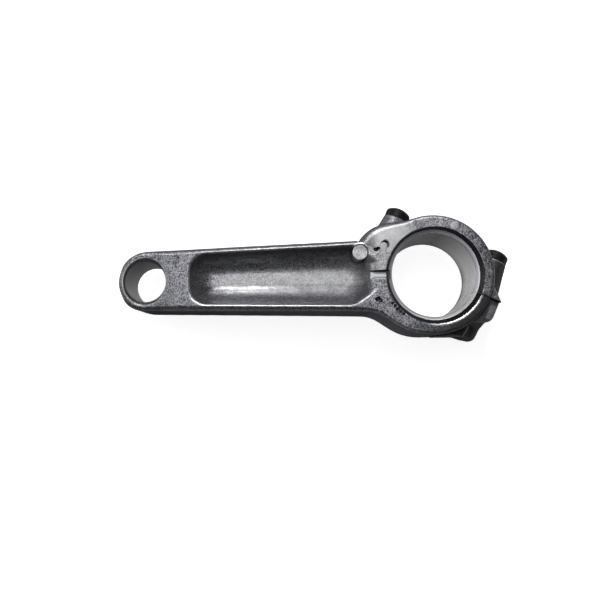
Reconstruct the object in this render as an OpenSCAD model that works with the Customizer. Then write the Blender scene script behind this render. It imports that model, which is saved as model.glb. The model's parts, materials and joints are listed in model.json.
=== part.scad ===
// Split connecting rod of a small engine, lying flat.
// Origin at the centre of the crankpin bore, +Z along both bores, piston pin end towards -X.
// The split plane stands along the bores and slants across the rod, with the cap above it.

/* [Bores] */
// Distance between the two bore centres
centres = 88; // [86:1:100]
// Diameter of the crankpin bore
crank_bore_d = 25.48; // [24.5:0.02:25.6]
// Diameter of the piston pin bore
pin_bore_d = 12.5; // [11:0.02:13]

/* [Big end] */
// Width of the big end along the crankpin
big_w = 21.5; // [20:0.5:24]
// Outer diameter of the ring around the crankpin
ring_d = 36.4; // [36:0.1:37.5]
// Diameter of the recess turned in both faces
recess_d = 29; // [28.5:0.1:30]
// Chamfer on the outer edges of the ring
ring_chamfer = 1; // [0.4:0.1:1.5]
// Angle between the split and the rod's centre line
split_angle = 25; // [22:1:27]

/* [Small end] */
// Width of the small end along the piston pin
small_w = 16.2; // [15:0.2:18]
// Outer diameter of the eye around the piston pin
eye_d = 18.2; // [17.6:0.1:19]
// How far the eye's outside sits off the bore, towards the shank
eye_offset = 0.9; // [0.5:0.1:1]
// Chamfer at the mouths of the piston pin bore
pin_chamfer = 0.5; // [0.2:0.1:0.8]

/* [Shank] */
// Height of the shank where it leaves the eye
shank_h_small = 18.3; // [17.6:0.1:19]
// Height of the shank where it meets the ring
shank_h_big = 22.2; // [21.5:0.1:23]
// Chamfer along the shank's four outer edges
shank_chamfer = 1.3; // [0.6:0.1:1.6]
// Thickness of the web between the two pockets
web_t = 5.6; // [5.2:0.2:7]
// Radius of the pockets' corners and of the fillet around their floors
pocket_r = 4.8; // [3.4:0.2:5]
// Width of the oil groove across the front face
groove_w = 2.4; // [1.6:0.2:3]
// Depth of the oil groove
groove_depth = 0.9; // [0.4:0.1:1.2]

/* [Screws] */
// Distance of each screw axis from the centre of the crankpin bore
screw_offset = 16.8; // [16.6:0.1:17]
// Diameter of the screw threads
screw_d = 4.8; // [4.4:0.1:4.8]
// Length of the screws under the head
screw_len = 21.5; // [20:0.5:23]
// Diameter of the screw heads
head_d = 7.8; // [7:0.1:8]
// Height of a head's straight side
head_h = 2.2; // [2:0.1:3]
// Height of the dome on a head
dome_h = 1.4; // [0.6:0.1:1.6]
// Width across the flats of the drive socket
socket_w = 4; // [3:0.1:4.2]
// Height of the screw seats above the split
seat_h = 13.4; // [13:0.1:14]

/* [Hidden] */
$fn = 96;

// Half widths of the faces and radii that follow from the sizes above
big_z = big_w / 2;
small_z = small_w / 2;
bore_r = crank_bore_d / 2;
ring_r = ring_d / 2;
eye_r = eye_d / 2;

// Mouth of the crankpin bore: a steep turned shoulder, then a chamfer into the bore
shoulder_w = 0.7;
shoulder_depth = 1.4;
mouth_depth = 1.85;

// Shank: the ends of its taper and its pockets, measured from the crankpin centre
shank_x_small = eye_offset - centres;
shank_x_big = -14;
pocket_x_small = -centres + 13.8;
pocket_x_big = -19.5;
rim_small = 1.6;
rim_big = 1.9;
fillet_r = 20;
fillet_overlap = 0.15;

// Ejector boss in the front pocket
boss_x = -22.3;
boss_y = 7.1;
boss_r = 2.3;
boss_drop = 0.25;

// Locating tongues on the rod, one at each face, and the notches that take them
tongue_u = -17.45;
tongue_w = 2.1;
tongue_h = 2.8;
tongue_len = 4.5;
tongue_z = big_z - 0.15;
notch_gap = 0.12;
notch_spare = 0.6;

// Screw holes, threads and bosses
tap_gap = 0.05;
clear_gap = 0.2;
tap_spare = 2;
tip_chamfer = 0.6;
socket_depth = 2;
cap_boss_r = 4;
cap_boss_root_r = 5.7;
cap_boss_z = 4.2;
rod_boss_r = 4.3;
rod_boss_tip_r = 3.9;
rod_boss_len = 13.7;
rod_boss_chamfer = 2;
lobe_z = big_z - 0.1;
flange_z = big_z - 0.5;
pad_z = big_z - 1.2;

// Anything longer than this reaches past the part
far = 300;

// Half height and half width of the shank at distance x along the rod
function along(x) = (x - shank_x_small) / (shank_x_big - shank_x_small);
function shank_y(x) = (shank_h_small + (shank_h_big - shank_h_small) * along(x)) / 2;
function shank_z(x) = small_z + (big_z - small_z) * along(x);

// Turns its children into the split frame: X along the split, Y away from it on the cap's side
module split_frame() {
    rotate([0, 0, -split_angle]) children();
}

// The half space on the cap's side of the split (side = 1) or the rod's side (side = -1)
module half_space(side) {
    split_frame()
        translate([-far / 2, side > 0 ? 0 : -far, -far / 2])
            cube([far, far, far]);
}

// A plate of an outline in the split frame, as thick as z on both sides
module split_plate(outline, z) {
    split_frame()
        translate([0, 0, -z])
            linear_extrude(2 * z) polygon(outline);
}

// Turns its children onto a screw axis: Z runs from the split up to the screw's head
module on_screw(side) {
    split_frame()
        translate([side * screw_offset, 0, 0])
            rotate([-90, 0, 0]) children();
}

// A disc with chamfered edges, half as thick as z
module chamfered_disc(r, z, c) {
    rotate_extrude()
        polygon([[0, -z], [r - c, -z], [r, c - z], [r, z - c], [r - c, z], [0, z]]);
}

// The space inside the crankpin bore with its stepped mouths
module crank_bore() {
    recess_r = recess_d / 2;
    shoulder_r = recess_r - shoulder_w;
    shoulder_z = big_z - shoulder_depth;
    wall_z = big_z - mouth_depth;
    rotate_extrude($fn = 180)
        polygon([
            [0, -big_z - 1], [recess_r, -big_z - 1], [recess_r, -big_z],
            [shoulder_r, -shoulder_z], [bore_r, -wall_z], [bore_r, wall_z],
            [shoulder_r, shoulder_z], [recess_r, big_z], [recess_r, big_z + 1], [0, big_z + 1]
        ]);
}

// The space inside the piston pin bore with its chamfered mouths
module pin_bore() {
    r = pin_bore_d / 2;
    wide = r + pin_chamfer;
    wall_z = small_z - pin_chamfer;
    translate([-centres, 0, 0])
        rotate_extrude($fn = 120)
            polygon([
                [0, -small_z - 1], [wide, -small_z - 1], [wide, -small_z], [r, -wall_z],
                [r, wall_z], [wide, small_z], [wide, small_z + 1], [0, small_z + 1]
            ]);
}

// The eye around the piston pin
module eye() {
    translate([shank_x_small, 0, 0]) chamfered_disc(eye_r, small_z, shank_chamfer);
}

// One cross-section of the shank, an octagon across the rod
module shank_section(x) {
    y = shank_y(x);
    z = shank_z(x);
    c = shank_chamfer;
    translate([x, 0, 0])
        rotate([90, 0, 90])
            linear_extrude(0.01)
                polygon([
                    [-y, c - z], [c - y, -z], [y - c, -z], [y, c - z],
                    [y, z - c], [y - c, z], [c - y, z], [-y, z - c]
                ]);
}

// The shank's tapered bar
module shank() {
    hull() {
        shank_section(shank_x_small);
        shank_section(shank_x_big);
    }
}

// The curved web that spreads the shank's lower edge into the ring
module lower_flare() {
    fillet_y = -shank_y(pocket_x_big) - fillet_r;
    reach = ring_r + fillet_r - fillet_overlap;
    fillet_x = -sqrt(reach * reach - fillet_y * fillet_y);
    z = shank_z(fillet_x);
    translate([0, 0, -z])
        linear_extrude(2 * z)
            difference() {
                polygon([
                    [fillet_x, 0], [fillet_x, fillet_y + fillet_r],
                    [fillet_x * ring_r / reach, fillet_y * ring_r / reach], [0, 0]
                ]);
                translate([fillet_x, fillet_y]) circle(fillet_r, $fn = 180);
            }
}

// A pocket corner: a ball on the floor with a straight wall above it
module pocket_corner(x, y) {
    translate([x, y, web_t / 2 + pocket_r]) {
        sphere(pocket_r, $fn = 32);
        cylinder(h = big_z, r = pocket_r, $fn = 32);
    }
}

// The long pocket in the front face, with round corners and a filleted floor
module pocket() {
    x_small = pocket_x_small + pocket_r;
    x_big = pocket_x_big - pocket_r;
    hull()
        for (side = [-1, 1]) {
            pocket_corner(x_small, side * (shank_y(x_small) - rim_small - pocket_r));
            pocket_corner(x_big, side * (shank_y(x_big) - rim_big - pocket_r));
        }
}

// Both locating tongues; for the notches they grow by a gap at the sides, a spare height above
// and a stretch past the face
module tongues(gap, spare, past) {
    w = tongue_w + 2 * gap;
    top = tongue_h + spare - w / 2;
    length = tongue_len + gap + past;
    split_frame()
        for (face = [0, 1])
            mirror([0, 0, face])
                translate([tongue_u, 0, tongue_z - tongue_len - gap]) {
                    translate([-w / 2, -1, 0]) cube([w, 1 + top, length]);
                    translate([0, top, 0]) cylinder(h = length, r = w / 2, $fn = 48);
                }
}

// The ring around the crankpin before it is bored and split
module ring() {
    chamfered_disc(ring_r, big_z, ring_chamfer, $fn = 180);
}

// The lower screw's threaded boss and the joint pad around it
module rod_boss() {
    foot_r = rod_boss_tip_r - rod_boss_chamfer;
    foot = rod_boss_len - rod_boss_chamfer;
    on_screw(1)
        rotate_extrude()
            polygon([
                [0, 1], [rod_boss_r, 1], [rod_boss_r, -5], [rod_boss_tip_r, -foot],
                [foot_r, -rod_boss_len], [0, -rod_boss_len]
            ]);
    edge = screw_offset + rod_boss_r;
    split_plate([[bore_r + 1, 1], [edge, 1], [edge, -5], [edge - 2.1, -7.2], [bore_r + 1, -9]], pad_z);
}

// The tapped holes, from the split down into the rod
module tapped_holes() {
    depth = screw_len - seat_h + tap_spare;
    for (side = [-1, 1])
        on_screw(side)
            translate([0, 0, -depth]) cylinder(h = depth + 1, r = screw_d / 2 + tap_gap);
}

// The round pad in the front pocket that pushes the casting out of its mould
module ejector_boss() {
    translate([boss_x, boss_y, 0]) cylinder(h = shank_z(boss_x) - boss_drop, r = boss_r);
}

// The rod: eye, shank and the lower half of the big end, in one casting
module rod() {
    color([0.55, 0.55, 0.57])
        difference() {
            union() {
                difference() {
                    intersection() {
                        union() {
                            eye();
                            shank();
                            lower_flare();
                            ring();
                            rod_boss();
                        }
                        half_space(-1);
                    }
                    pocket();
                    mirror([0, 0, 1]) pocket();
                }
                ejector_boss();
                tongues(0, 0, 0);
            }
            crank_bore();
            pin_bore();
            tapped_holes();
            oil_groove();
        }
}

// The oil groove from the front pocket to the recess
module oil_groove() {
    translate([pocket_x_big - 0.9, -groove_w / 2, big_z - groove_depth])
        cube([6, groove_w, groove_depth + 1]);
}

// The gusset that carries the upper screw's seat down to the shank
module upper_lobe() {
    split_plate([
        [-bore_r - 1, -1], [-24.9, -1], [-20.3, 7], [-16.9, 9.2], [-12.5, 11.2], [-8, 12]
    ], lobe_z);
    split_plate([
        [-bore_r - 1, -1], [-25.3, -1], [-25.3, 1.9], [-24.1, 5.6], [-22.8, 8.2], [-21.4, 10.2],
        [-screw_offset - cap_boss_r, 12.5], [-screw_offset, 12.5]
    ], cap_boss_z);
}

// The small ear where the lower joint's flange shows past the ring
module lower_ear() {
    split_plate([[bore_r + 1, -1], [22.75, -1], [19.4, 2.2], [bore_r + 1, 6]], flange_z);
}

// The tapered bosses under the screw heads
module cap_bosses() {
    for (side = [-1, 1])
        on_screw(side)
            translate([0, 0, -1]) cylinder(h = seat_h + 1, r1 = cap_boss_root_r, r2 = cap_boss_r);
}

// The clearance holes through the cap
module clearance_holes() {
    for (side = [-1, 1])
        on_screw(side)
            translate([0, 0, -1]) cylinder(h = seat_h + 2, r = screw_d / 2 + clear_gap);
}

// The cap: the upper half of the big end
module cap() {
    color([0.66, 0.66, 0.68])
        difference() {
            intersection() {
                union() {
                    ring();
                    upper_lobe();
                    lower_ear();
                    cap_bosses();
                }
                half_space(1);
            }
            crank_bore();
            clearance_holes();
            tongues(notch_gap, notch_spare, 1);
        }
}

// One cap screw: domed head with a hexagon socket, and a shank with a chamfered tip
module screw(side) {
    r = screw_d / 2;
    head_r = head_d / 2;
    dome_r = (head_r * head_r + dome_h * dome_h) / (2 * dome_h);
    head_top = seat_h + head_h;
    dome_half = asin(head_r / dome_r);
    steps = 8;
    tip = seat_h - screw_len;
    color([0.09, 0.09, 0.1])
        on_screw(side)
            difference() {
                rotate_extrude()
                    polygon(concat(
                        [[0, tip], [r - tip_chamfer, tip], [r, tip + tip_chamfer], [r, seat_h]],
                        [[head_r, seat_h], [head_r, head_top]],
                        [for (i = [1 : steps - 1])
                            let (a = dome_half * (1 - i / steps))
                            [dome_r * sin(a), head_top + dome_h - dome_r * (1 - cos(a))]],
                        [[0, head_top + dome_h]]
                    ));
                translate([0, 0, head_top + dome_h - socket_depth])
                    cylinder(h = socket_depth + 1, r = socket_w / sqrt(3), $fn = 6);
            }
}

module upper_screw() {
    screw(-1);
}

module lower_screw() {
    screw(1);
}

rod();
cap();
upper_screw();
lower_screw();
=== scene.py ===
"""Looks of the split connecting rod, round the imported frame: castings, screws, finishes, light, camera."""

import functools
import json

import bpy
import numpy as np
from mathutils import Matrix, Vector


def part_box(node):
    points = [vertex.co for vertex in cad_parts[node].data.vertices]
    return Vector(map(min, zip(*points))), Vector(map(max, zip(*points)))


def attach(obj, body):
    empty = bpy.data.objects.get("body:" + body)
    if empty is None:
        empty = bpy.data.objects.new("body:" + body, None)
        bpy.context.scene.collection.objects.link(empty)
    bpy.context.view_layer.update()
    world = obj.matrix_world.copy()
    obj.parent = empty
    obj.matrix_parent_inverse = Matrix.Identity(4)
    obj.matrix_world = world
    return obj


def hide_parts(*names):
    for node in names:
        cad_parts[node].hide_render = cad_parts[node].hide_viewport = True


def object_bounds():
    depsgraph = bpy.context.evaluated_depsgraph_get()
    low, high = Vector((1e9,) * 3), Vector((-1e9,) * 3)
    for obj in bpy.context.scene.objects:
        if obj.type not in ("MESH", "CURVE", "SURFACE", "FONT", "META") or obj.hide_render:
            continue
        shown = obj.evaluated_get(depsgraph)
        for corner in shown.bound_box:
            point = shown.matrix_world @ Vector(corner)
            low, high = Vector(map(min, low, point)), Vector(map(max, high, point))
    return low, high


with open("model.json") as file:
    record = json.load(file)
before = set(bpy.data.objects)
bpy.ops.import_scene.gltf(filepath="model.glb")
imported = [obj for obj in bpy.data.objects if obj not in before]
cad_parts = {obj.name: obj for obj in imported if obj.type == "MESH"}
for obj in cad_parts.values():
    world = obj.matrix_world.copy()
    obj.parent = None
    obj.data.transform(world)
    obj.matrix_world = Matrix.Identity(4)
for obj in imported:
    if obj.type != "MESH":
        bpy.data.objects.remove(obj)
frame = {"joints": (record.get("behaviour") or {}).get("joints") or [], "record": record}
cad_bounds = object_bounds()
record = frame["record"]
mounts = {mount["name"]: mount for mount in record["mounts"]}

# ---------------------------------------------------------------- sizes, in millimetres
# Everything below is in the frame's axes: origin in the crankpin bore, +Z along the bores.
MM = 0.001
BORE_R = mounts["crankpin_bore"]["dims"]["r_mm"]
PIN_R = mounts["piston_pin_bore"]["dims"]["r_mm"]
PIN_X = mounts["piston_pin_bore"]["pos_m"][0] / MM
BIG_Z = mounts["front_thrust_face"]["pos_m"][2] / MM
SPLIT_N = np.array(frame["joints"][0]["axis"])
SPLIT_U = np.array([SPLIT_N[1], -SPLIT_N[0], 0.0])

# Big end
RING_R = 18.2
RECESS_R = 14.5
SHOULDER_R = 13.8
SHOULDER_Z = BIG_Z - 1.4
LAND_FALL = 0.45
# The chamfer round the recess is slightly off centre
LIP_AT = (0.22, -0.25)
LIP_R = 14.8
JOINT_GAP = 0.03
# Edge radius of the split faces, on the side of the shank and away from it
SPLIT_EDGES = (0.05, 0.18)

# Eye and shank
SMALL_Z = 8.1
EYE_R = 9.1
EYE_X = PIN_X + 0.9
MOUTH_DEPTH = 1.1
MOUTH_GROWTH = 0.35
SHANK_END_X = -14.0
SHANK_Y_SMALL = 9.15
SHANK_Y_BIG = 11.1
WEB_Z = 2.8
POCKET_X = (-74.2, -19.5)
EJECTOR_AT = (-22.3, 7.1)
EJECTOR_R = 2.25
GROOVE_Y = 0.3
GROOVE_HALF = 1.25
GROOVE_DEPTH = 1.5
GROOVE_END_X = -22.1

# Features of the joint; their places are along the split and above it
TONGUE_U = -17.45
TONGUE_HALF = 1.05
TONGUE_TOP = 1.75
TONGUE_Z = 6.1
NUB_AT = (-0.2, 16.1)
NUB_R = 1.3
LOBE_AT = (-16.5, 5.5)
LOBE = [(-25.3, -3), (-25.2, 0.3), (-23.9, 4.3), (-21.6, 7.4), (-18.2, 9.9), (-12, 12)]
ROD_PAD = [(21.25, 3), (21.25, -5.6), (20.3, -7.0), (12, -10.4)]
ROD_WEB = [(17, -12.7), (8, -16.8)]
CAP_EAR = [(19.4, 2.2), (21.7, 0.0)]

# Screws and their bosses
SCREW_U = 16.8
SEAT_N = 13.4
SEAT_R = 4.2
BOSS_N = -13.7
HOLE_N = -10.2
THREAD_R = 2.4
THREAD_PITCH = 1.06
THREAD_DEPTH = 0.42
TAPPED_GAP = 0.05
CLEARANCE = 0.2
HEAD_R = 3.895
HEAD_SIDE = 2.2
HEAD_DOME = 1.4
SOCKET_HALF = 2.0
SOCKET_DEPTH = 2.0
SCREW_LENGTH = 21.5


# ---------------------------------------------------------------- distance functions
# A solid is a function of points in millimetres: negative inside, positive outside.
def blend_min(a, b, k):
    """Union of two solids with a concave fillet about k wide."""
    h = np.clip(0.5 + 0.5 * (b - a) / k, 0, 1)
    return b + (a - b) * h - k * h * (1 - h)


def blend_max(a, b, k):
    """Intersection of two solids with the edge between them rounded about k wide."""
    return -blend_min(-a, -b, k)


def round_max(a, b, r):
    """Intersection of two solids with the edge between them rounded to radius r."""
    outside = np.hypot(np.maximum(a + r, 0), np.maximum(b + r, 0))
    return outside + np.minimum(np.maximum(a + r, b + r), 0) - r


def ramp(x, start, end):
    return np.clip((x - start) / (end - start), 0, 1)


def mix(a, b, t):
    return a + (b - a) * t


def left_of(u, n, start, end):
    """Distance from the line through two points, negative on its right-hand side."""
    along = np.subtract(end, start) / np.hypot(*np.subtract(end, start))
    return (n - start[1]) * along[0] - (u - start[0]) * along[1]


def convex(u, n, corners, k):
    """A convex outline through corners given clockwise, with the corners rounded about k wide."""
    sides = [left_of(u, n, a, b) for a, b in zip(corners, corners[1:])]
    value = sides[0]
    for side in sides[1:]:
        value = blend_max(value, side, k)
    return value


def split_axes(x, y):
    """Distance along the split and distance above it."""
    return x * SPLIT_U[0] + y * SPLIT_U[1], x * SPLIT_N[0] + y * SPLIT_N[1]


def lumps(x, y, z):
    """The slight unevenness of a cast skin."""
    slow = np.sin(0.9 * x + 1.3 * np.sin(0.5 * y)) * np.sin(0.8 * y + 0.6 * z + 1.1)
    quick = np.sin(2.3 * x - 1.1 * z + 0.7) * np.sin(2.1 * y + 1.7 * np.sin(0.9 * x)) * np.cos(1.9 * z)
    return 0.045 + 0.02 * slow + 0.012 * quick


def face_z(x):
    """Half width of the casting at x: it widens from the eye to the ring."""
    return mix(SMALL_Z, BIG_Z, ramp(x, EYE_X, SHANK_END_X))


def shank_y(x):
    """Half height of the shank at x."""
    return mix(SHANK_Y_SMALL, SHANK_Y_BIG, (x - EYE_X) / (SHANK_END_X - EYE_X))


def below_face(x, z):
    """Depth below the nearer face of the casting."""
    return face_z(x) - np.abs(z)


def ring(x, y):
    return np.hypot(x, y) - RING_R


def from_screws(u, z):
    """Distance from the nearer screw's axis."""
    return np.hypot(np.abs(u) - SCREW_U, z)


def from_ejector(x, y):
    return np.hypot(x - EJECTOR_AT[0], y - EJECTOR_AT[1])


def from_nub(u, n):
    return np.hypot(u - NUB_AT[0], n - NUB_AT[1])


def pocket(x, y, z):
    """The front pocket, with drafted walls and a filleted floor."""
    depth = face_z(x) - z
    corner = mix(5.0, 7.0, ramp(x, -60, -30))
    # Past the ends and past the sides, each with its draft and the corner's radius
    a = np.maximum(POCKET_X[0] - x + 0.3 * depth, x - POCKET_X[1] + 0.2 * depth) + corner
    b = np.abs(y) - shank_y(x) + mix(2.2, 1.75, ramp(y, -2, 2)) + 0.13 * depth + corner
    side = np.hypot(np.maximum(a, 0), np.maximum(b, 0)) + np.minimum(np.maximum(a, b), 0) - corner
    return round_max(side, WEB_Z - z, mix(6.6, 5.0, ramp(y, -3, 1)))


def crank_bore(x, y, z):
    """The turned space of the crankpin bore: wall, chamfer and steep shoulder."""
    heights = [SHOULDER_Z - LAND_FALL, SHOULDER_Z, BIG_Z, BIG_Z + 1]
    radii = [BORE_R, SHOULDER_R, RECESS_R, RECESS_R + 0.3]
    bore = np.hypot(x, y) - np.interp(np.abs(z), heights, radii)
    return np.minimum(bore, (lip(x, y) + BIG_Z - np.abs(z)) * 0.7)


def lip(x, y):
    """Distance outside the slightly off-centre chamfer round the recess."""
    return np.hypot(x - LIP_AT[0], y - LIP_AT[1]) - LIP_R


def pin_bore(x, y, z):
    """The space of the piston pin bore, with the slightly taller cast mouths round it."""
    mouth = np.maximum((np.abs(z) - SMALL_Z) / MOUTH_DEPTH + 1, 0)
    return np.hypot(x - PIN_X, y * (1 - 0.1 * mouth)) - PIN_R - MOUTH_GROWTH * mouth


def tongue(u, n, z, grow, spare):
    """The locating tongues near both faces; the notches are the same shape, grown."""
    half = TONGUE_HALF + grow
    top = TONGUE_TOP + spare
    tip = np.hypot(u - TONGUE_U, n - top) - half
    stem = np.maximum(np.maximum(np.abs(u - TONGUE_U) - half, n - top), -n - 1.5)
    ends = np.maximum(TONGUE_Z - grow - np.abs(z), np.abs(z) - BIG_Z + 0.12 - 5 * grow)
    return np.maximum(np.minimum(tip, stem), ends)


def groove(x, y, z):
    """The oil groove from the front pocket into the recess."""
    ends = np.maximum(BIG_Z - GROOVE_DEPTH - z, GROOVE_END_X - x)
    return np.maximum(np.abs(y - GROOVE_Y) - GROOVE_HALF, ends)


def pit(x, y, z, centre, size, depth):
    """A round-bottomed flaw in the front face."""
    a = (x - centre[0]) / size[0]
    b = (y - centre[1]) / size[1]
    c = (z - face_z(x)) / depth
    return (np.sqrt(a * a + b * b + c * c) - 1) * min(*size, depth)


# Centre, size and depth of each flaw in the front face, beside the tongue and under the bore
FLAWS = [
    ((-17.5, 7.85), (0.8, 0.6), 1.6),
    ((-16.8, 8.15), (0.65, 0.45), 1.3),
    ((-17.3, -7.2), (0.9, 0.75), 1.2),
    ((-16.65, -7.7), (0.7, 0.6), 0.8),
    ((-12.9, -8.6), (0.6, 0.4), 0.4),
    ((-12.3, -9.4), (0.45, 0.65), 0.5),
    ((-11.4, -10.4), (0.75, 0.5), 0.6),
    ((-10.6, -11.2), (0.5, 0.4), 0.4),
    ((-9.8, -11.9), (0.6, 0.45), 0.5),
]


def flaws(x, y, z, value):
    for centre, size, depth in FLAWS:
        value = np.maximum(value, -pit(x, y, z, centre, size, depth))
    return value


def rod_plan(x, y):
    """The rod's outline before it is split: the slightly crowned eye and shank, and the ring."""
    turn = np.arctan2(y, x - EYE_X)
    # The upper side is crowned, more at the eye than at the ring, and the eye swells at its lower left
    crown = mix(0.3, 0.08, ramp(x, -60, -20)) * ramp(y, 0, 4)
    swell = 0.45 * np.exp(-((turn + 2.25) / 0.4) ** 2) * ramp(x, -96, -94.5)
    eye = np.hypot(x - EYE_X, y) - EYE_R - swell
    eye = eye - crown * ramp(y, 3, 7) + 0.02 * ramp(x, -94, -96)
    bar = np.maximum(np.maximum(np.abs(y) - shank_y(x) - crown, EYE_X - x), x + 8)
    # Below the shank the ring reaches a little further towards the eye
    hoop = np.minimum(ring(x, y), ring(x + 1.8 * ramp(-y, 4, 8), y))
    return blend_min(np.minimum(eye, bar), hoop, np.where(y < 0, 4.0, 1.0))


def with_ejector(body, x, y, z):
    """The body with the ejector boss, and a thin moat round it in the front face."""
    boss = np.maximum(from_ejector(x, y) - EJECTOR_R, np.abs(z - 6) - (face_z(x) - 6.12))
    moat = np.maximum(from_ejector(x, y) - EJECTOR_R - 0.25, face_z(x) - 0.45 - z)
    return np.minimum(blend_max(body, -moat, 0.15), boss)


def rod_pad(u, n, z):
    """The flat pad at the joint away from the shank, and the web that carries it to the boss."""
    pad = convex(u, n, ROD_PAD, 0.5)
    pad = round_max(np.maximum(pad, 12 - u), np.abs(z) - BIG_Z + 1.3, 0.5)
    web = np.maximum(left_of(u, n, *ROD_WEB), np.maximum(np.abs(u - 12) - 4, n + 4))
    return np.minimum(pad, np.maximum(web, np.abs(z) - 4))


def rod_boss(u, n, z):
    """The tapered boss round the lower tapped hole."""
    return round_max(np.hypot(u - SCREW_U, z) - mix(4.1, 3.55, (-n - 5) / 9), BOSS_N - n, 2.4)


def rod_casting(x, y, z):
    """The rod's cast skin before it is machined and split."""
    u, n = split_axes(x, y)
    edge = np.interp(x, [-92, -78, -30, -15], [1.2, 1.9, 1.9, 1.1])
    body = round_max(rod_plan(x, y), np.abs(z) - face_z(x), edge)
    soft = 0.8 + 2.5 * ramp(x, -25, -21) * ramp(np.abs(y), 7, 4)
    for side in (1, -1):
        body = blend_max(body, -pocket(x, y, side * z), soft)
    body = np.minimum(with_ejector(body, x, y, z), rod_pad(u, n, z))
    return blend_min(body, rod_boss(u, n, z), 2.2)


def split_edge(u):
    """Edge radius of the split faces."""
    return mix(*SPLIT_EDGES, ramp(u, -2, 2))


def rod_solid(p, flawed=True):
    x, y, z = p.T
    u, n = split_axes(x, y)
    value = rod_casting(x, y, z) + lumps(x, y, z)
    value = round_max(value, n + JOINT_GAP, split_edge(u))
    value = np.minimum(value, tongue(u, n, z, 0, 0))
    if flawed:
        value = flaws(x, y, z, value)
    value = np.maximum(value, -groove(x, y, z))
    hole = from_screws(u, z) - THREAD_R - TAPPED_GAP
    value = np.maximum(value, -np.maximum(hole, HOLE_N - n))
    value = blend_max(value, -crank_bore(x, y, z), mix(0.02, 0.36, ramp(-n, 0.3, 2)))
    return np.maximum(value, -pin_bore(x, y, z))


def cap_casting(x, y, z):
    """The cap's cast skin before it is machined and split, with the small round nub on its faces."""
    u, n = split_axes(x, y)
    lobe = np.maximum(convex(u, n, LOBE, 0.8), u + 8)
    plan = blend_min(ring(x, y), lobe, 2.0)
    body = round_max(plan, np.abs(z) - BIG_Z, np.interp(u, [-19, -12], [2.6, 1.1]))
    boss = round_max(from_screws(u, z) - mix(5.7, 4.0, n / SEAT_N), n - SEAT_N, 0.35)
    ear = np.maximum(left_of(u, n, *CAP_EAR), 13 - u)
    ear = round_max(ear, np.abs(z) - BIG_Z + 0.5, 0.3)
    value = blend_min(np.minimum(body, ear), boss, 1.5)
    nub = round_max(from_nub(u, n) - NUB_R, ring(x, y) + 0.3, 0.3)
    nub = np.maximum(nub, np.abs(z) - BIG_Z + 0.01)
    return np.minimum(value + lumps(x, y, z), nub)


def cap_solid(p, flawed=True):
    x, y, z = p.T
    u, n = split_axes(x, y)
    value = round_max(cap_casting(x, y, z), JOINT_GAP - n, split_edge(u))
    value = np.maximum(value, -tongue(u, n, z, 0.1, 0.5))
    if flawed:
        value = flaws(x, y, z, value)
    value = np.maximum(value, -(from_screws(u, z) - THREAD_R - CLEARANCE))
    return np.maximum(value, -crank_bore(x, y, z))


def screw_solid(p):
    """A cap screw in its own axes: the seat at z = 0, the domed head above it."""
    x, y, z = p.T
    r = np.hypot(x, y)
    angle = np.arctan2(y, x)
    dome_r = (HEAD_R**2 + HEAD_DOME**2) / (2 * HEAD_DOME)
    dome = np.sqrt(r * r + (z - HEAD_SIDE - HEAD_DOME + dome_r) ** 2) - dome_r
    head = round_max(round_max(r - HEAD_R, -z, 0.15), dome, 0.3)
    turns = z / THREAD_PITCH - angle / (2 * np.pi)
    ridge = np.abs(turns - np.floor(turns) - 0.5) * 2
    thread = r - THREAD_R + THREAD_DEPTH * ridge * ramp(-z, 3.5, 5.5)
    tip = blend_max(thread, (r - z - THREAD_R - SCREW_LENGTH + 0.6) * 0.707, 0.1)
    shank = np.maximum(tip, np.maximum(z - 0.5, -z - SCREW_LENGTH))
    sixth = np.pi / 3
    socket = r * np.cos((angle + sixth / 2) % sixth - sixth / 2) - SOCKET_HALF
    socket = np.maximum(socket, HEAD_SIDE + HEAD_DOME - SOCKET_DEPTH - z)
    return np.maximum(np.minimum(head, shank), -socket)


# ---------------------------------------------------------------- mesher
def sample(solid, low, shape, cell):
    """The solid's values on a grid; blocks far from its surface only get the right sign."""
    size = 8
    batch_blocks = 600
    starts = [np.arange(0, n, size) for n in shape]
    corners = np.stack(np.meshgrid(*starts, indexing="ij"), -1).reshape(-1, 3)
    rough = solid(low + (corners + (size - 1) / 2) * cell)
    values = np.ones(shape, np.float32)
    for x, y, z in corners[rough < 0]:
        values[x:x + size, y:y + size, z:z + size] = -1
    offsets = np.stack(np.meshgrid(*[np.arange(size)] * 3, indexing="ij"), -1).reshape(-1, 3)
    # Twice a block's half diagonal, as the functions are not exact distances
    near = corners[np.abs(rough) < 1.7 * size * cell]
    for batch in np.array_split(near, max(1, len(near) // batch_blocks)):
        index = (batch[:, None, :] + offsets).reshape(-1, 3)
        index = index[(index < shape).all(1)]
        values[tuple(index.T)] = solid(low + index * cell)
    return values


def crossing(solid, inner, outer):
    """Where the surface cuts the edges from points inside to points outside, and its normals there."""
    near, far = np.zeros(len(inner)), np.ones(len(inner))
    value_in, value_out = solid(inner), solid(outer)
    for _ in range(3):
        share = np.clip(value_in / (value_in - value_out + 1e-12), 0.05, 0.95)
        t = near + (far - near) * share
        value = solid(inner + (outer - inner) * t[:, None])
        inside = value < 0
        near, value_in = np.where(inside, t, near), np.where(inside, value, value_in)
        far, value_out = np.where(inside, far, t), np.where(inside, value_out, value)
    t = near + (far - near) * np.clip(value_in / (value_in - value_out + 1e-12), 0, 1)
    points = inner + (outer - inner) * t[:, None]
    tiny = 2e-3
    slope = np.stack([solid(points + tiny * e) - solid(points - tiny * e) for e in np.eye(3)], 1)
    return points, slope / np.maximum(np.linalg.norm(slope, axis=1), 1e-9)[:, None]


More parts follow.
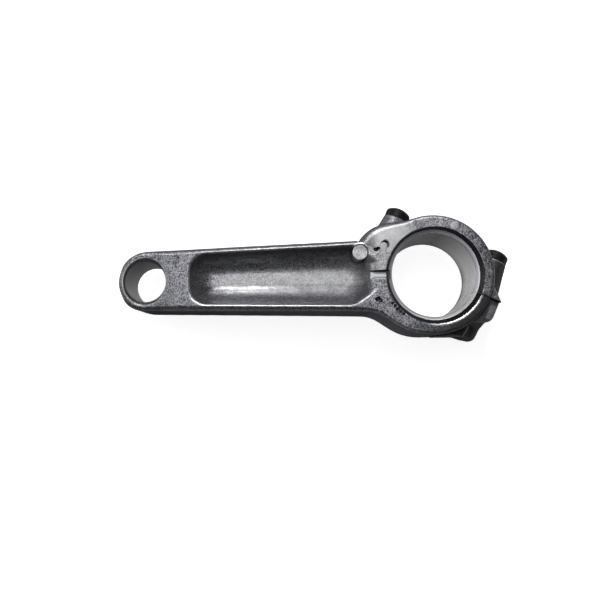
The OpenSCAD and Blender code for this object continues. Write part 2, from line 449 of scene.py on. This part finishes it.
def dual_contour(solid, low, high, cell):
    """Vertices and quads of a solid's surface, with its sharp edges kept sharp."""
    low = np.asarray(low, float)
    shape = tuple(np.ceil((np.asarray(high) - low) / cell).astype(int) + 1)
    values = sample(solid, low, shape, cell)
    cells, points, normals, quads = [], [], [], []
    for axis in range(3):
        step = np.eye(3, dtype=int)[axis]
        start = values[tuple(slice(0, n - s) for n, s in zip(shape, step))] < 0
        end = values[tuple(slice(s, None) for s in step)] < 0
        index = np.argwhere(start != end)
        leaving = start[tuple(index.T)]
        ends = low + index * cell, low + (index + step) * cell
        inner = np.where(leaving[:, None], ends[0], ends[1])
        outer = np.where(leaving[:, None], ends[1], ends[0])
        place, normal = crossing(solid, inner, outer)
        b, c = np.eye(3, dtype=int)[(axis + 1) % 3], np.eye(3, dtype=int)[(axis + 2) % 3]
        around = np.stack([index, index - b, index - b - c, index - c], 1)
        around[~leaving] = around[~leaving][:, ::-1]
        ids = np.ravel_multi_index(tuple(np.moveaxis(around, 2, 0)), shape)
        quads.append(ids)
        cells.append(ids.ravel())
        points.append(np.repeat(place, 4, 0))
        normals.append(np.repeat(normal, 4, 0))
    cells, points, normals = np.concatenate(cells), np.concatenate(points), np.concatenate(normals)
    used, where = np.unique(cells, return_inverse=True)
    count = np.bincount(where)[:, None]
    centre = np.stack([np.bincount(where, points[:, i]) for i in range(3)], 1) / count
    lean = ((points - centre[where]) * normals).sum(1)
    pairs = [(i, j) for i in range(3) for j in range(3)]
    matrix = np.stack([np.bincount(where, normals[:, i] * normals[:, j]) for i, j in pairs], 1)
    # The small diagonal keeps a vertex near its crossings' centre where the surface is flat
    matrix = matrix.reshape(-1, 3, 3) / count[:, :, None] + 0.02 * np.eye(3)
    right = np.stack([np.bincount(where, normals[:, i] * lean) for i in range(3)], 1) / count
    shift = np.linalg.solve(matrix, right[:, :, None])[:, :, 0]
    corner = low + np.stack(np.unravel_index(used, shape), 1) * cell
    vertices = np.clip(centre + shift, corner, corner + cell)
    return vertices, np.searchsorted(used, np.concatenate(quads))


# ---------------------------------------------------------------- materials
class Nodes:
    """A material's node tree, with short ways to add what the finishes need."""

    def __init__(self, name):
        self.material = bpy.data.materials.new(name)
        self.material.use_nodes = True
        self.tree = self.material.node_tree
        self.shader = self.tree.nodes["Principled BSDF"]
        self.place = self.add("ShaderNodeTexCoord").outputs

    def add(self, kind, **settings):
        node = self.tree.nodes.new(kind)
        for key, value in settings.items():
            setattr(node, key, value)
        return node

    def plug(self, value, socket):
        if isinstance(value, bpy.types.NodeSocket):
            self.tree.links.new(value, socket)
        else:
            socket.default_value = value

    def math(self, operation, *values):
        node = self.add("ShaderNodeMath", operation=operation)
        for value, socket in zip(values, node.inputs):
            self.plug(value, socket)
        return node.outputs[0]

    def stretch(self, scale):
        """Object coordinates with a scale for each axis, for streaks and lines."""
        node = self.add("ShaderNodeMapping")
        self.plug(self.place["Object"], node.inputs["Vector"])
        node.inputs["Scale"].default_value = scale
        return node.outputs[0]

    def noise(self, scale, detail=2.0, roughness=0.55, vector=None, distortion=0.0):
        """Noise from 0 to 1, with scale in cycles per metre."""
        node = self.add("ShaderNodeTexNoise")
        self.plug(vector or self.place["Object"], node.inputs["Vector"])
        node.inputs["Scale"].default_value = scale
        node.inputs["Detail"].default_value = detail
        node.inputs["Roughness"].default_value = roughness
        node.inputs["Distortion"].default_value = distortion
        return node.outputs["Fac"]

    def rescale(self, value, low, high, to_low=0.0, to_high=1.0):
        """A smooth step of value between low and high."""
        node = self.add("ShaderNodeMapRange", interpolation_type="SMOOTHSTEP")
        for number, socket in zip((value, low, high, to_low, to_high), node.inputs):
            self.plug(number, socket)
        return node.outputs[0]

    def tint(self, share, first, second):
        """First colour, with a share from 0 to 1 of the second mixed in."""
        node = self.add("ShaderNodeMix", data_type="RGBA")
        self.plug(share, node.inputs[0])
        self.plug(first, node.inputs[6])
        self.plug(second, node.inputs[7])
        return node.outputs[2]

    def mask(self, name):
        """A value from 0 to 1 kept on the mesh."""
        return self.add("ShaderNodeAttribute", attribute_name=name).outputs["Fac"]

    def bump(self, height, distance, strength=1.0, normal=None):
        node = self.add("ShaderNodeBump")
        self.plug(height, node.inputs["Height"])
        node.inputs["Distance"].default_value = distance
        node.inputs["Strength"].default_value = strength
        if normal:
            self.plug(normal, node.inputs["Normal"])
        return node.outputs[0]

    def finish(self, **inputs):
        for name, value in inputs.items():
            self.plug(value, self.shader.inputs[name.replace("_", " ")])
        return self.material


def grey(value, warm=0.0):
    """A linear RGBA grey."""
    return (value * (1 + warm), value, value * (1 - warm), 1)


def cast_metal(name, dark, light):
    """Die-cast aluminium: speckled grey skin, painted shade on slopes and in hollows, and bright edges,
    partly rubbed and partly painted highlights.
    """
    n = Nodes(name)
    # Speckled skin, painted paler by a mask: a paler skin, with painted light on the pocket floor, the lobe
    # and the oil groove's floor
    speckle = n.noise(2300, 3, 0.8)
    mottle = n.noise(480, 3, 0.6, distortion=0.4)
    cloud = n.noise(75, 2, 0.5)
    share = n.math("ADD", n.math("MULTIPLY", speckle, 1.6), n.math("MULTIPLY", mottle, 0.35))
    share = n.rescale(n.math("ADD", share, n.math("MULTIPLY", cloud, 0.25)), 0.92, 1.26)
    skin = n.tint(share, dark, light)
    skin = n.tint(n.math("MULTIPLY", n.mask("pale_and_lit"), 0.7), skin, grey(0.96))
    # Painted shade: steep surfaces are painted darker, duller and less speckled
    facing = n.add("ShaderNodeSeparateXYZ")
    n.plug(n.place["Normal"], facing.inputs[0])
    level = n.math("ABSOLUTE", facing.outputs["Z"])
    steep = n.rescale(level, 0.6, 0.985, 1.0, 0.0)
    skin = n.tint(n.math("MULTIPLY", steep, 0.55), skin, (0.29, 0.29, 0.31, 1))
    slope = n.math("MULTIPLY", steep, n.rescale(n.mask("pale_and_lit"), 0.0, 0.5, 0.35, 0.05))
    # Draw streaks on the pocket's walls, then painted shade from a mask, painted shade on steep slopes, and
    # dark seams with painted shade in hollows
    streak = n.rescale(n.noise(1, 3, 0.6, n.stretch((120, 1300, 1300))), 0.52, 0.72)
    streak = n.math("MULTIPLY", n.mask("wall"), streak)
    skin = n.tint(n.math("MULTIPLY", streak, 0.5), skin, grey(0.8))
    skin = n.tint(n.math("MULTIPLY", n.mask("painted_shade"), 0.8), skin, grey(0.07))
    # Painted light: slopes facing +y, towards the key light, are painted less dark
    slope = n.math("MULTIPLY", slope, n.rescale(facing.outputs["Y"], -0.2, 0.6, 1.0, 0.35))
    skin = n.tint(slope, skin, grey(0.04, 0.04))
    # Dark seams and painted shade in hollows
    skin = n.tint(n.math("MULTIPLY", n.mask("hollow"), 0.85), skin, grey(0.015))
    # Edges rubbed bright, with painted highlights and glints along the pocket's rim, the recess chamfer, the
    # pin bore's mouth and the land
    scuff = n.rescale(n.noise(2600, 2, 0.7), 0.35, 0.6)
    worn = n.math("MULTIPLY", n.mask("edge"), n.math("ADD", 0.4, n.math("MULTIPLY", scuff, 0.6)))
    worn = n.math("MULTIPLY", worn, n.rescale(level, 0.5, 0.85))
    worn = n.math("MULTIPLY", worn, n.rescale(n.mask("pale_and_lit"), 0.2, 0.8, 1.0, 0.4))
    skin = n.tint(worn, skin, grey(0.9))
    rough = n.rescale(mottle, 0.3, 0.7, 0.45, 0.35)
    rough = n.math("SUBTRACT", rough, n.math("MULTIPLY", worn, 0.1))
    rough = n.math("ADD", rough, n.math("MULTIPLY", n.mask("matte"), 0.2))
    grain = n.math("ADD", n.math("MULTIPLY", speckle, 0.7), n.math("MULTIPLY", n.noise(5200, 2), 0.3))
    return n.finish(
        Base_Color=skin,
        Roughness=rough,
        Metallic=n.math("MULTIPLY", n.math("SUBTRACT", 1.0, slope), 0.95),
        Specular_IOR_Level=0.05,
        Normal=n.bump(grain, 0.0001, 0.8, n.bump(mottle, 0.00012, 0.4)),
        Coat_Weight=0.08,
        Coat_Roughness=0.2,
    )


def bored_metal(name):
    """Fine-turned bore: lines round the bore, a satin sheen and a few hairline scratches."""
    n = Nodes(name)
    lines = n.noise(1, 3, 0.65, n.stretch((160, 160, 14000)))
    stain = n.noise(130, 3, 0.6)
    # A hairline runs where this noise crosses its middle value
    thread = n.noise(150, 2, 0.5, distortion=1.4)
    line = n.rescale(n.math("ABSOLUTE", n.math("SUBTRACT", thread, 0.5)), 0.0, 0.006, 1.0, 0.0)
    line = n.math("MULTIPLY", line, n.rescale(n.noise(60), 0.45, 0.6))
    skin = n.tint(n.rescale(lines, 0.3, 0.7), grey(0.5), grey(0.7))
    skin = n.tint(n.math("MULTIPLY", n.rescale(stain, 0.35, 0.75), 0.4), skin, grey(0.24))
    skin = n.tint(n.math("MULTIPLY", line, 0.45), skin, grey(0.1))
    skin = n.tint(n.math("MULTIPLY", n.mask("shade"), 0.93), skin, (0.05, 0.05, 0.055, 1))
    # The land between the wall and the recess
    turned = n.tint(n.rescale(lines, 0.3, 0.6), grey(0.6), grey(0.98))
    turned = n.tint(n.mask("pale_and_lit"), (0.8, 0.78, 0.88, 1), turned)
    skin = n.tint(n.mask("land"), skin, turned)
    # A painted highlight along the land's outer edge, on the cap
    skin = n.tint(n.math("MULTIPLY", n.mask("edge"), n.mask("land")), skin, grey(0.98))
    rough = n.rescale(stain, 0.3, 0.7, 0.34, 0.24)
    rough = n.math("ADD", rough, n.math("MULTIPLY", n.mask("land"), 0.3))
    rough = n.math("ADD", rough, n.math("MULTIPLY", n.mask("shade"), 0.25))
    return n.finish(
        Base_Color=skin,
        Roughness=rough,
        Metallic=n.math("SUBTRACT", 1.0, n.math("MULTIPLY", n.mask("shade"), 0.7)),
        Specular_IOR_Level=0.2,
        Normal=n.bump(lines, 0.00002, 0.6),
    )


def milled_metal(name):
    """Milled split faces and screw seats: brighter, with straight cutter marks."""
    n = Nodes(name)
    marks = n.noise(1, 2, 0.6, n.stretch((900, 5200, 900)))
    stain = n.noise(300, 3, 0.6)
    skin = n.tint(n.rescale(marks, 0.3, 0.7), grey(0.3), grey(0.52))
    skin = n.tint(n.math("MULTIPLY", stain, 0.4), skin, grey(0.16))
    rough = n.rescale(stain, 0.3, 0.7, 0.42, 0.3)
    normal = n.bump(marks, 0.00003, 0.6)
    return n.finish(Base_Color=skin, Roughness=rough, Metallic=1.0, Normal=normal)


def black_oxide(name):
    """Black-oxide steel: near black, slightly mottled, with rubbed edges."""
    n = Nodes(name)
    mottle = n.noise(700, 4, 0.65)
    fine = n.noise(3000, 2, 0.6)
    skin = n.tint(n.rescale(mottle, 0.35, 0.7), grey(0.007), grey(0.024, 0.08))
    rub = n.math("MULTIPLY", n.mask("edge"), n.rescale(fine, 0.45, 0.65))
    skin = n.tint(n.math("MULTIPLY", rub, 0.5), skin, grey(0.16, 0.05))
    rough = n.rescale(mottle, 0.3, 0.7, 0.5, 0.34)
    normal = n.bump(fine, 0.00003, 0.5)
    return n.finish(Base_Color=skin, Roughness=rough, Metallic=0.0, Specular_IOR_Level=0.2, Normal=normal)


CAST_ROD = cast_metal("cast_aluminium_rod", (0.08, 0.08, 0.09, 1), (0.66, 0.66, 0.71, 1))
CAST_CAP = cast_metal("cast_aluminium_cap", (0.1, 0.1, 0.11, 1), (0.64, 0.64, 0.68, 1))
BORED = bored_metal("fine_turned_aluminium")
MILLED = milled_metal("milled_aluminium")
OXIDE = black_oxide("black_oxide_steel")


# ---------------------------------------------------------------- pieces
def on_cap(n):
    """0 on the rod and 1 on the cap."""
    return ramp(n, -0.02, 0.02)


def machined(p):
    """Which finish a point of a casting has: 0 as cast, 1 bored, 2 milled."""
    x, y, z = p.T
    u, n = split_axes(x, y)
    bored = (np.abs(crank_bore(x, y, z)) < 0.03) & (np.abs(z) < SHOULDER_Z)
    bored |= (np.abs(pin_bore(x, y, z)) < 0.03) & (np.abs(z) < SMALL_Z - MOUTH_DEPTH)
    holes = (np.abs(from_screws(u, z) - THREAD_R - 0.12) < 0.15) & (n > HOLE_N - 0.2)
    seats = (np.abs(n - SEAT_N) < 0.12) & (from_screws(u, z) < SEAT_R)
    milled = holes | seats | (np.abs(n) < 1.5 * JOINT_GAP)
    return np.where(bored, 1, np.where(milled, 2, 0))


def pocket_wall(x, depth):
    """The pocket's walls and floor, without the rim."""
    return np.maximum(ramp(depth, 2.5, 5), ramp(x, -30, -23) * ramp(depth, 0.4, 1.5))


def lobe_face(u, n, depth):
    """The smooth face of the cap's lobe beside the shank."""
    return ramp(np.hypot(u - LOBE_AT[0], n - LOBE_AT[1]), 8.2, 4.5) * on_cap(n) * ramp(depth, 0.4, 0.1)


def pad_side(u, n, z):
    """The paler side of the pad at the joint away from the shank."""
    side = 0.5 * ramp(u, 18.8, 19.3) * ramp(n, -6.3, -5.8) * ramp(n, -1.2, -1.8)
    return side * ramp(BIG_Z - np.abs(z), 1.6, 1.4)


def trough(x, y, z):
    """The inside of the oil groove, as 0 or 1."""
    near = (z > 0) * (np.abs(groove(x, y, z)) < 0.1)
    return near * (np.hypot(x, y) > RECESS_R) * (x < 0)


def pale_and_lit_skin(x, y, z):
    """Where the cast skin is painted paler: pocket floor, lobe, cheek by the oil groove, ejector, nub and
    pad; the pocket floor, lobe and groove floor are painted light.
    """
    u, n = split_axes(x, y)
    depth = below_face(x, z)
    floor = pocket_wall(x, depth) * ramp(x, -70, -63) * ramp(x, -18, -26) * ramp(y, 6, 2) * ramp(y, -5.6, -4)
    floor = floor * mix(0.5, 0.72, ramp(x, -60, -30))
    cheek = 0.4 * ramp(y, -4, 3) * ramp(x, -21.5, -20) * (1 - on_cap(n)) * ramp(x, -12, -14)
    ejector = 0.65 * (from_ejector(x, y) < EJECTOR_R + 0.15)
    nub = 0.7 * (from_nub(u, n) < NUB_R)
    lit = 1.6 * trough(x, y, z) * ramp(y, 1.1, 0.95)
    return np.maximum.reduce([floor, lobe_face(u, n, depth), cheek, ejector, nub, pad_side(u, n, z), lit])


def painted_shade_on_skin(x, y, z):
    """Painted shade on the cast skin: bosses, lobe, eye's end, low pocket wall, shoulders and the lee side
    away from the light.
    """
    u, n = split_axes(x, y)
    depth = below_face(x, z)
    bosses = 0.8 * ramp(from_screws(u, z), 7.2, 4.8) * (np.maximum(u, n) > 0.5) * ramp(depth, 2.5, 4)
    bosses = bosses * ramp(np.hypot(x, y), RECESS_R, RECESS_R + 1) * mix(0.25, 1.4, ramp(u, -5, 5))
    by_boss = ramp(from_screws(u, z), 7.5, 6) * ramp(n, 7, 9)
    brow = on_cap(n) * ramp(u, -7, -9) * mix(0.35, 0.8, ramp(depth, 0.2, 1.5))
    brow = brow * ramp(depth, 0.02, 0.1) * (1 - by_boss)
    eye = ramp(np.hypot(x - EYE_X, y), EYE_R - 1.4, EYE_R - 0.7)
    eye = 0.75 * eye * ramp(-x - 0.7 * y, 84, 90)
    low_wall = (0.55 + 0.1 * ramp(x, -56, -46) + 0.3 * ramp(x, -62, -68)) * ramp(y, -1, -2.4)
    low_wall = np.maximum(0.6 * ramp(y, -4.4, -5.6), low_wall)
    low_wall = pocket_wall(x, depth) * (x < -20) * low_wall
    shoulders = 0.6 * ramp(y, 7.5, 8.5) * ramp(x, -16, -19) + 0.5 * ramp(y, -7.7, -8.4) * ramp(x, -16, -24)
    # Painted shade, darker towards the lower right, away from the light
    lee = 0.75 * x - 0.66 * y
    lee = mix(1.15 * ramp(lee, 3, 14), 0.4 * ramp(lee, 3, 18), on_cap(n))
    lee = lee * (1 - pad_side(u, n, z)) * mix(1, 0.5, ramp(depth, 1, 3))
    return np.maximum.reduce([lee, bosses, brow, eye, low_wall, shoulders])


def painted_highlights(x, y, z, land):
    """Painted highlights and glints: the pocket's rim, the chamfer of the recess, the pin bore's mouth and
    the land.
    """
    n = split_axes(x, y)[1]
    depth = below_face(x, z)
    # A painted highlight along the pocket's rim
    rim = ramp(np.abs(pocket(x, y, np.abs(z))), 0.75, 0.3) * ramp(depth, 0.7, 0.4)
    rim = rim * mix(0.2, 0.75, ramp(y, 5, -4)) * mix(0.3, 1, ramp(x, -24, -33))
    # A painted glint along the chamfer round the recess, on the rod
    chamfer = ramp(np.abs(lip(x, y) - 0.12), 0.45, 0.3) * ramp(depth, 0.5, 0.35)
    chamfer = 1.5 * chamfer * (1 - on_cap(n)) * ramp(0.7 * x - 0.7 * y, 8, 12)
    # A painted glint round the pin bore's mouth, at its lower left
    mouth = np.abs(np.hypot(x - PIN_X, 0.9 * y) - PIN_R - 0.5)
    mouth = ramp(mouth, 0.35, 0.15) * ramp(depth, 0.5, 0.3) * ramp(-x - y, 91, 93)
    # A painted highlight along the land's outer edge, on the cap
    band = land * (np.hypot(x, y) > SHOULDER_R - 0.42) * on_cap(n) * ramp(x - y, 4, 12)
    return np.maximum.reduce([rim, chamfer, mouth, band])


def dark_seams_and_shade(x, y, z):
    """Dark seams and painted shade: the split's seam, the notch and a scratch, painted shadow on the
    groove's upper wall, and painted shade in the recess.
    """
    u, n = split_axes(x, y)
    seam = ramp(np.abs(n), 0.4, 0.2) * mix(0.1, 1.0, ramp(u, -2, 2))
    # Painted shadow on the oil groove's upper wall
    seam = seam + trough(x, y, z) * ramp(y, 1.1, 1.2)
    # Painted shade on the recess's steep shoulder
    recess = (lip(x, y) < -0.05) & (np.hypot(x, y) > SHOULDER_R + 0.03)
    scratch = ramp(np.abs(y + 8.05), 0.22, 0.1) * (np.abs(x + 76.2) < 1.1) * (below_face(x, z) < 1)
    notch = ramp(np.abs(tongue(u, n, np.full_like(z, 8), 0.2, 0.4)), 0.42, 0.25)
    notch = notch * ramp(n, 1.5, 2) * ramp(u, -18.2, -17.8)
    return np.maximum.reduce([seam, recess, scratch, notch])


def wear(p):
    """Where a casting is painted paler or lit, painted in shade, worn or given painted highlights, as masks
    from 0 to about 1; shade is the painted shade in the bores.

    Land is the step between the crankpin bore's wall and its recess, wall is where draw streaks run, and
    spared is where sharp edges stay unworn.
    """
    x, y, z = p.T
    u, n = split_axes(x, y)
    r = np.hypot(x, y)
    depth = below_face(x, z)
    cap = on_cap(n)
    bored = r < RECESS_R
    land = bored & (r > BORE_R + 0.1)
    shade = np.where(bored, ramp(0.7 * y - 0.7 * x, -10, 7), mix(0.1, 0.75, ramp(y, -5, 5)))
    return {
        "pale_and_lit": np.where(land, (1 - cap) * ramp(x - y, -2, 10), pale_and_lit_skin(x, y, z)),
        "painted_shade": painted_shade_on_skin(x, y, z),
        "matte": ramp(depth, 2, 4) * ramp(x, -54, -40) + 0.5 * lobe_face(u, n, depth),
        "land": land,
        "shade": np.where(land, 0, shade),
        "edge": painted_highlights(x, y, z, land),
        "hollow": dark_seams_and_shade(x, y, z),
        "spared": 0.8 * cap * ramp(u, -6, -10),
        "wall": ramp(depth, 0.8, 2.5) * (np.abs(x + 45) < 30) * (np.abs(y) < 10),
    }


FINE_REACH = 0.4
BROAD_REACH = 1.1
SHARP_ANGLE = 38


def bend(solid, points, reach):
    """How much the surface bends within reach: positive over an edge, negative in a hollow."""
    total = -6 * solid(points)
    for step in np.eye(3) * reach:
        total += solid(points + step) + solid(points - step)
    return total / reach


def sharpness(solid, smooth, points):
    """How worn the points are by their sharpness, and how deep they lie in a hollow, from 0 to 1."""
    worn = 0.9 * bend(smooth, points, FINE_REACH) - 0.3
    # Painted shade: the deeper a point lies in a hollow, the darker the cast skin is painted
    deep = -1.2 * np.minimum(bend(solid, points, FINE_REACH), 0)
    broad = -0.55 * bend(solid, points, BROAD_REACH) - 0.1
    return np.clip(worn, 0, 1), np.clip(np.maximum(deep, broad), 0, 1)


def build(name, body, solid, box, cell, materials, finish=None, turn=None, smooth=None, marks=None):
    """Meshes a solid, and has it stand for the CAD node of the same name.

    The finish picks a material for each face, and the marks are masks that the materials read. The turn
    is a rotation and a shift from the solid's own axes. Smooth is the solid without its flaws.
    """
    vertices, quads = dual_contour(solid, box[0], box[1], cell)
    mesh = bpy.data.meshes.new(name + "_piece")
    place = vertices if turn is None else vertices @ turn[0].T + turn[1]
    mesh.from_pydata((place * MM).tolist(), [], quads.tolist())
    worn, hollow = sharpness(solid, smooth or solid, vertices)
    masks = marks(vertices) if marks else {"edge": 0, "hollow": 0, "spared": 0}
    # Rubbed edges join the painted highlights; dark seams and painted shade in hollows cover them
    masks["edge"] = np.maximum(worn * (1 - masks.pop("spared")), masks["edge"]) * (1 - masks["hollow"])
    masks["hollow"] = np.maximum(hollow, masks["hollow"])
    for key, values in masks.items():
        mesh.attributes.new(key, "FLOAT", "POINT").data.foreach_set("value", np.float32(values))
    for material in materials:
        mesh.materials.append(material)
    if finish is not None:
        mesh.polygons.foreach_set("material_index", finish(vertices[quads].mean(1)).astype(np.int32))
    mesh.polygons.foreach_set("use_smooth", np.ones(len(quads), bool))
    mesh.set_sharp_from_angle(angle=np.radians(SHARP_ANGLE))
    mesh.validate()
    piece = bpy.data.objects.new(name + "_piece", mesh)
    bpy.context.scene.collection.objects.link(piece)
    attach(piece, body)
    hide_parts(name)


def room(node):
    """A node's CAD box in millimetres, with a margin for the mesher."""
    low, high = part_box(node)
    return np.array(low) / MM - 0.8, np.array(high) / MM + 0.8


CELL = 0.25
SCREW_CELL = 0.13
SCREW_REACH = HEAD_R + 0.3
SCREW_LOW = (-SCREW_REACH, -SCREW_REACH, -SCREW_LENGTH - 0.3)
SCREW_HIGH = (SCREW_REACH, SCREW_REACH, HEAD_SIDE + 1.2)
SCREW_AXES = np.stack([SPLIT_U, np.array([0, 0, -1.0]), SPLIT_N], 1)

for name, solid, cast in (("rod", rod_solid, CAST_ROD), ("cap", cap_solid, CAST_CAP)):
    smooth = functools.partial(solid, flawed=False)
    finishes = [cast, BORED, MILLED]
    build(name, name, solid, room(name), CELL, finishes, machined, smooth=smooth, marks=wear)
for name, side in (("upper_screw", -1), ("lower_screw", 1)):
    turn = (SCREW_AXES, side * SCREW_U * SPLIT_U + SEAT_N * SPLIT_N)
    box = (SCREW_LOW, SCREW_HIGH)
    build(name, name, screw_solid, box, SCREW_CELL, [OXIDE], turn=turn)


# ---------------------------------------------------------------- floor, light and camera
scene = bpy.context.scene
scene.view_settings.view_transform = "Standard"

FLOOR_HALF = 6.0
FLOOR_Z = cad_bounds[0][2]
floor_mesh = bpy.data.meshes.new("floor")
corners = [(sx * FLOOR_HALF, sy * FLOOR_HALF, FLOOR_Z) for sx, sy in ((-1, -1), (1, -1), (1, 1), (-1, 1))]
floor_mesh.from_pydata(corners, [], [(0, 1, 2, 3)])
floor = bpy.data.objects.new("floor", floor_mesh)
scene.collection.objects.link(floor)
paper = Nodes("pale_floor")
fleck = paper.tint(paper.noise(60, 2), grey(0.8), grey(0.83))
paper.finish(Base_Color=fleck, Roughness=0.9, Specular_IOR_Level=0.1)
paper.finish(Emission_Color=grey(1.0), Emission_Strength=0.88)
floor_mesh.materials.append(paper.material)
floor.visible_diffuse = False
floor.visible_glossy = False


def softbox(name, place, aim, size, power, shape="SQUARE"):
    """An area light at place that faces aim, both in metres."""
    data = bpy.data.lights.new(name, "AREA")
    data.shape = shape
    data.size = size
    data.energy = power
    light = bpy.data.objects.new(name, data)
    light.location = place
    light.rotation_euler = (Vector(place) - Vector(aim)).to_track_quat("Z", "Y").to_euler()
    light.visible_camera = False
    scene.collection.objects.link(light)


CENTRE = (-0.035, 0.0, 0.0)
softbox("key", (-0.12, 0.72, 0.8), CENTRE, 0.24, 5.9)
softbox("top", (-0.1, 0.3, 1.2), CENTRE, 0.5, 1.0)
softbox("side", (-0.9, 0.25, 0.42), CENTRE, 0.45, 1.3)
# The pale floor under each bore lights the bore's wall: a disk just above the floor, facing up
for name, x, radius, brightness in (("crank_glow", 0.0, BORE_R, 0.68), ("pin_glow", PIN_X, PIN_R, 0.38)):
    spot = (x * MM, 0.0, FLOOR_Z + 0.0003)
    size = 1.8 * radius * MM
    softbox(name, spot, (spot[0], 0.0, 1.0), size, brightness * np.pi**2 * size**2 / 4, "DISK")

# The room is pale to the camera. The object sees shades that change with the height of the direction,
# from straight down (0) to straight up (1)
SHADES = ((0.2, 0.04), (0.32, 0.7), (0.46, 0.6), (0.58, 0.07))
SHADE_DOWN = grey(0.03)
SHADE_UP = (0.055, 0.057, 0.06, 1)
world = bpy.data.worlds.new("studio")
world.use_nodes = True
scene.world = world
sky = world.node_tree.nodes
wire = world.node_tree.links.new
direction = sky.new("ShaderNodeSeparateXYZ")
wire(sky.new("ShaderNodeTexCoord").outputs["Generated"], direction.inputs[0])
height = sky.new("ShaderNodeMapRange")
height.inputs["From Min"].default_value = -1
wire(direction.outputs["Z"], height.inputs["Value"])
shades = sky.new("ShaderNodeValToRGB")
wire(height.outputs[0], shades.inputs[0])
stops = shades.color_ramp.elements
stops[0].color = SHADE_DOWN
stops[1].color = SHADE_UP
for position, value in SHADES:
    stops.new(position).color = grey(value)
seen = sky.new("ShaderNodeMix")
seen.data_type = "RGBA"
seen.inputs[7].default_value = grey(0.95)
wire(shades.outputs[0], seen.inputs[6])
wire(sky.new("ShaderNodeLightPath").outputs["Is Camera Ray"], seen.inputs[0])
wire(seen.outputs[2], sky["Background"].inputs["Color"])

CAMERA_AT = Vector((-0.03839, -0.02637, 0.18897))
CAMERA_AIM = Vector((-0.03957, -0.00717, 0.0))
CAMERA_UP = Vector((0.0215, 0.9947, 0.1009))
SENSOR = 36.0
FOCAL_PIXELS = 600
IMAGE_PIXELS = 608
back = (CAMERA_AT - CAMERA_AIM).normalized()
right = CAMERA_UP.cross(back).normalized()
camera_data = bpy.data.cameras.new("camera")
camera_data.sensor_width = SENSOR
camera_data.lens = SENSOR * FOCAL_PIXELS / IMAGE_PIXELS
camera_data.clip_start = 0.01
camera = bpy.data.objects.new("camera", camera_data)
axes = Matrix((right, back.cross(right), back)).transposed()
camera.matrix_world = Matrix.Translation(CAMERA_AT) @ axes.to_4x4()
scene.collection.objects.link(camera)
scene.camera = camera
